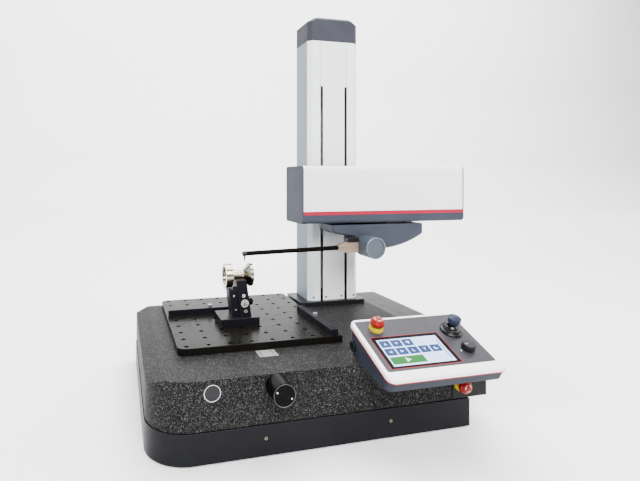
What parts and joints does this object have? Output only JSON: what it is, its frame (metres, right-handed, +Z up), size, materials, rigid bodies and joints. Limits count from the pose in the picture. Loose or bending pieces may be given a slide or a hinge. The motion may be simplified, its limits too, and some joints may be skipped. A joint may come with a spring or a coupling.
{
  "type": "contour measuring machine",
  "caption": "Bench contour measuring machine: stone base with hole plate and operator panel, column, height-adjustable drive unit and swinging stylus arm.",
  "frame": {"origin": "middle of the bounding box at table level, on the plane of the feet", "axes": "+X to the operator's right, +Y away from the operator, +Z up"},
  "size_m": [0.9564, 0.69, 1.0515],
  "materials": {
    "pan_paint": "satin near-black powder coat",
    "rubber_feet": "matt black rubber",
    "granite": "lapped black granite, finely speckled",
    "housing_paint": "smooth dark satin paint",
    "back_panel_paint": "dark satin paint",
    "box_black": "black satin paint",
    "stop_yellow": "yellow plastic",
    "stop_red": "red plastic",
    "plate_black": "blackened ground steel, glossy",
    "bar_black": "black satin",
    "bright_steel": "bright machined steel",
    "polished_steel": "polished turned steel",
    "dark_steel": "dark ground steel",
    "bronze": "dull bronze",
    "screw_brass": "yellow passivated screws",
    "scale_white": "pale anodised scale",
    "knob_black": "black anodised knob",
    "column_silver": "satin silver anodised",
    "cover_silver": "satin silver sheet",
    "cap_grey": "dark grey satin",
    "foot_plate_silver": "satin machined aluminium",
    "motor_black": "black motor",
    "cover_white": "white satin paint",
    "blue_grey": "blue-grey satin paint",
    "pod_blue_grey": "blue-grey moulding",
    "stripe_red": "red strip",
    "hub_blue_grey": "blue-grey satin, turned",
    "mount_black": "black",
    "arm_black": "carbon tube, satin",
    "panel_grey": "blue-grey moulding",
    "seal_red": "red seal",
    "bezel_white": "white moulding",
    "face_dark": "dark front plate",
    "screen_glass": "lit touch screen",
    "rubber_black": "black rubber",
    "stick_black": "black rubber and plastic",
    "dial_black": "black dial"
  },
  "bodies": {
    "base": {"base_pan": "pan_paint", "base_feet": "rubber_feet", "stone_supports": "rubber_feet", "cover_screws": "screw_brass", "granite_plate": "granite", "bore_plug": "bright_steel", "scale_plates": "scale_white", "side_housing": "housing_paint", "housing_back_panel": "back_panel_paint", "stop_box": "box_black", "machine_stop_collar": "stop_yellow", "spindle_bearings": "bronze", "column_base_plate": "foot_plate_silver", "column_profile": "column_silver", "column_front_cover": "cover_silver", "column_cap": "cap_grey", "column_rails": "dark_steel", "lift_motor": "motor_black", "panel_bracket": "box_black", "panel_shell": "panel_grey", "panel_seal": "seal_red", "panel_bezel": "bezel_white", "panel_face": "face_dark", "panel_screen": "screen_glass", "panel_stop_collar": "stop_yellow", "joystick_boot": "rubber_black"},
    "table": {"hole_plate": "plate_black", "stop_bars": "bar_black", "stop_bar_screws": "bright_steel", "table_keys": "dark_steel", "spindle_nut": "bronze", "fixture_base": "bar_black", "fixture_post": "bar_black", "fixture_screws": "bright_steel", "workpiece": "polished_steel"},
    "thumb_screw": {"thumb_screw": "bright_steel"},
    "table_knob": {"table_knob": "knob_black", "table_spindle": "dark_steel"},
    "lift": {"lift_carriage": "dark_steel", "drive_frame": "dark_steel", "drive_cover": "cover_white", "drive_trough": "blue_grey", "drive_stripe": "stripe_red", "drive_end_caps": "blue_grey", "traverse_rail": "dark_steel", "traverse_motor": "motor_black"},
    "lift_spindle": {"lift_spindle": "dark_steel"},
    "traverse": {"traverse_carriage": "dark_steel", "probe_housing": "pod_blue_grey"},
    "traverse_spindle": {"traverse_spindle": "dark_steel"},
    "probe": {"pivot_hub": "hub_blue_grey", "arm_clamp": "bronze", "arm_mount": "mount_black", "probe_arm": "arm_black", "stylus": "bright_steel"},
    "machine_stop": {"machine_stop_button": "stop_red"},
    "panel_stop": {"panel_stop_button": "stop_red"},
    "joystick_gimbal": {"joystick_gimbal": "rubber_black"},
    "joystick_stick": {"joystick_stick": "stick_black"},
    "speed_knob": {"speed_knob": "dial_black"}
  },
  "joints": [
    {"name": "table_slide", "type": "slide", "parent": "base", "child": "table", "axis": [0, 1, 0], "range_m": [-0.01, 0.01]},
    {"name": "knob_turn", "type": "hinge", "parent": "base", "child": "table_knob", "pos_m": [-0.22075, -0.22726, 0.141], "axis": [0, 1, 0], "range_deg": [-1810, 1810]},
    {"name": "thumb_screw_turn", "type": "hinge", "parent": "table", "child": "thumb_screw", "pos_m": [-0.18675, 0.07754, 0.23], "axis": [1, 0, 0], "range_deg": [-360, 0]},
    {"name": "lift", "type": "slide", "parent": "base", "child": "lift", "axis": [0, 0, 1], "range_m": [0, 0.25]},
    {"name": "lift_spindle_turn", "type": "hinge", "parent": "base", "child": "lift_spindle", "pos_m": [0.12025, 0.27504, 0.577], "axis": [0, 0, 1], "range_deg": [-9010, 10]},
    {"name": "traverse", "type": "slide", "parent": "lift", "child": "traverse", "axis": [1, 0, 0], "range_m": [-0.012, 0.128]},
    {"name": "traverse_spindle_turn", "type": "hinge", "parent": "lift", "child": "traverse_spindle", "pos_m": [0.19325, 0.11754, 0.52], "axis": [1, 0, 0], "range_deg": [-4620, 440]},
    {"name": "probe_swing", "type": "hinge", "parent": "traverse", "child": "probe", "pos_m": [0.15425, 0.08954, 0.362], "axis": [0, 1, 0], "range_deg": [0, 11.5]},
    {"name": "machine_stop_press", "type": "slide", "parent": "base", "child": "machine_stop", "axis": [0, 1, 0], "range_m": [0, 0.005], "stiffness_N_per_m": 1500, "springref_m": -0.002},
    {"name": "panel_stop_press", "type": "slide", "parent": "base", "child": "panel_stop", "axis": [0, 0.3714, -0.9285], "range_m": [0, 0.005], "stiffness_N_per_m": 1500, "springref_m": -0.002},
    {"name": "joystick_tip", "type": "hinge", "parent": "base", "child": "joystick_gimbal", "pos_m": [0.17745, -0.23602, 0.22206], "axis": [1, 0, 0], "range_deg": [-18, 18], "stiffness_Nm_per_rad": 0.4},
    {"name": "joystick_sway", "type": "hinge", "parent": "joystick_gimbal", "child": "joystick_stick", "pos_m": [0.17745, -0.23602, 0.22206], "axis": [0, 0.9285, 0.3714], "range_deg": [-18, 18], "stiffness_Nm_per_rad": 0.4},
    {"name": "speed_knob_turn", "type": "hinge", "parent": "base", "child": "speed_knob", "pos_m": [0.17695, -0.28783, 0.19919], "axis": [0, -0.3714, 0.9285], "range_deg": [-150, 150]}
  ],
  "couplings": [
    {"joint": "knob_turn", "follows": "table_slide", "rad_per_m": -3141.6},
    {"joint": "lift_spindle_turn", "follows": "lift", "rad_per_m": -628.3},
    {"joint": "traverse_spindle_turn", "follows": "traverse", "rad_per_m": -628.3}
  ]
}
